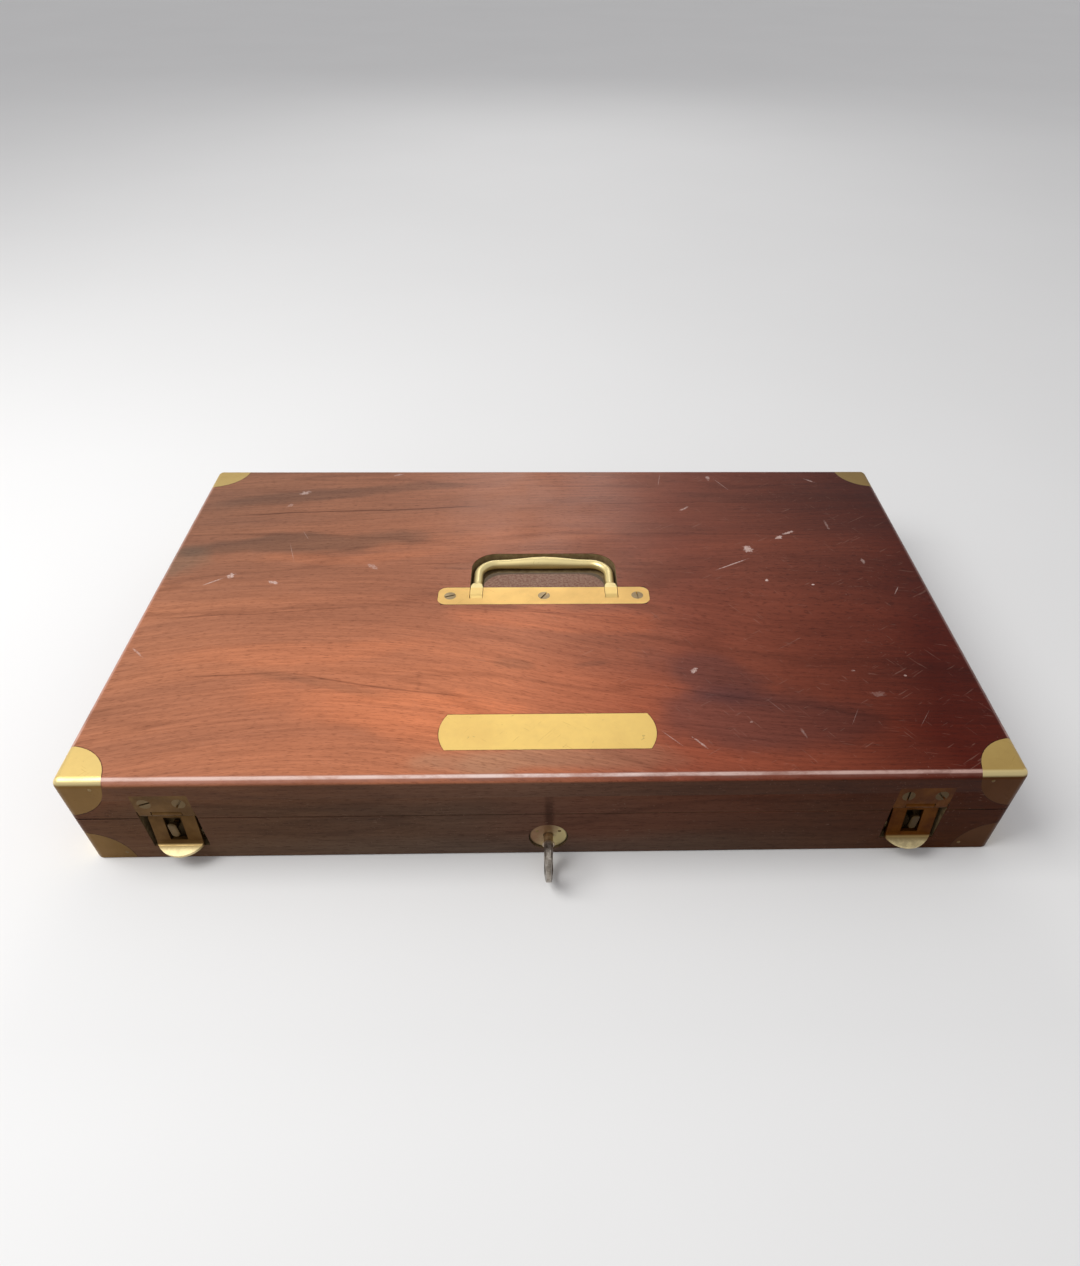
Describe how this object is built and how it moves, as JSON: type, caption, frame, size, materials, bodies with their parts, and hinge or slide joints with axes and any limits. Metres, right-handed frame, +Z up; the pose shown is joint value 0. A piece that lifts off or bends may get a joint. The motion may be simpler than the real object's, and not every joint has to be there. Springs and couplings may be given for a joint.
{
  "type": "instrument case",
  "caption": "Flat brass-bound hardwood case with a hinged lid, flush folding handle, front hasps with turn-buttons, a box lock with its key, and a lined tray with notched racks.",
  "frame": {"origin": "middle of the case's underside, on the surface that it stands on", "axes": "+X along the front towards its right end, +Y from front to back, +Z up"},
  "size_m": [0.45, 0.3136, 0.057],
  "materials": {
    "mahogany": "french polished, worn",
    "corner_brass": "satin, aged",
    "plate_brass": "brushed, aged",
    "handle_brass": "handled smooth",
    "hasp_brass": "tarnished",
    "hinge_brass": "satin",
    "lock_brass": "satin",
    "screw_brass": "satin",
    "pin_brass": "dull",
    "key_steel": "worn",
    "velvet": "velvet",
    "silk": "velvet pad"
  },
  "bodies": {
    "base": {"base_front_wall": "mahogany", "base_back_wall": "mahogany", "base_left_wall": "mahogany", "base_right_wall": "mahogany", "base_bottom_panel": "mahogany", "base_corner_front_left": "corner_brass", "base_corner_front_right": "corner_brass", "base_corner_back_left": "corner_brass", "base_corner_back_right": "corner_brass", "base_lining": "velvet", "instrument_rack_left": "velvet", "instrument_rack_middle": "velvet", "instrument_rack_right": "velvet", "escutcheon": "plate_brass", "lock_case": "lock_brass", "lock_cap": "lock_brass", "latch_plate_left": "hasp_brass", "latch_plate_right": "hasp_brass", "hinge_base_leaf_left": "hinge_brass", "hinge_base_leaf_right": "hinge_brass", "hinge_pins": "hinge_brass"},
    "lid": {"lid_top_panel": "mahogany", "lid_front_wall": "mahogany", "lid_back_wall": "mahogany", "lid_left_wall": "mahogany", "lid_right_wall": "mahogany", "lid_corner_front_left": "corner_brass", "lid_corner_front_right": "corner_brass", "lid_corner_back_left": "corner_brass", "lid_corner_back_right": "corner_brass", "lid_cushion": "silk", "name_plate": "plate_brass", "handle_plate": "plate_brass", "handle_plate_screws": "screw_brass", "handle_pivot_pins": "pin_brass", "hasp_leaf_left": "hasp_brass", "hasp_leaf_right": "hasp_brass", "hasp_pins": "hasp_brass", "hasp_leaf_screws": "screw_brass", "link_plate": "lock_brass", "hinge_lid_leaf_left": "hinge_brass", "hinge_lid_leaf_right": "hinge_brass"},
    "handle": {"handle_bail": "handle_brass"},
    "hasp_left": {"hasp_strap_left": "hasp_brass"},
    "hasp_right": {"hasp_strap_right": "hasp_brass"},
    "button_left": {"turn_button_left": "hasp_brass"},
    "button_right": {"turn_button_right": "hasp_brass"},
    "bolt": {"lock_bolt": "lock_brass"},
    "curtain": {"lock_curtain": "lock_brass"},
    "key": {"key": "key_steel"}
  },
  "joints": [
    {"name": "lid_hinge", "type": "hinge", "parent": "base", "child": "lid", "pos_m": [0, 0.1438, 0.031], "axis": [-1, 0, 0], "range_deg": [0, 100]},
    {"name": "handle_pivot", "type": "hinge", "parent": "lid", "child": "handle", "pos_m": [-0.0012, -0.0015, 0.053], "axis": [1, 0, 0], "range_deg": [0, 90]},
    {"name": "hasp_left_hinge", "type": "hinge", "parent": "lid", "child": "hasp_left", "pos_m": [-0.1794, -0.1399, 0.0332], "axis": [-1, 0, 0], "range_deg": [0, 110]},
    {"name": "hasp_right_hinge", "type": "hinge", "parent": "lid", "child": "hasp_right", "pos_m": [0.1794, -0.1399, 0.0332], "axis": [-1, 0, 0], "range_deg": [0, 110]},
    {"name": "button_left_turn", "type": "hinge", "parent": "base", "child": "button_left", "pos_m": [-0.1794, -0.1418, 0.0226], "axis": [0, 1, 0], "range_deg": [0, 90]},
    {"name": "button_right_turn", "type": "hinge", "parent": "base", "child": "button_right", "pos_m": [0.1794, -0.1418, 0.0226], "axis": [0, 1, 0], "range_deg": [0, 90]},
    {"name": "key_turn", "type": "hinge", "parent": "base", "child": "curtain", "pos_m": [0.0002, -0.1391, 0.013], "axis": [0, 1, 0], "range_deg": [0, 360]},
    {"name": "bolt_slide", "type": "slide", "parent": "base", "child": "bolt", "axis": [1, 0, 0], "range_m": [0, 0.006]},
    {"name": "key_withdraw", "type": "slide", "parent": "curtain", "child": "key", "axis": [0, -1, 0], "range_m": [0, 0.014]}
  ],
  "couplings": [
    {"joint": "bolt_slide", "follows": "key_turn", "m_per_rad": 0.00095492}
  ]
}
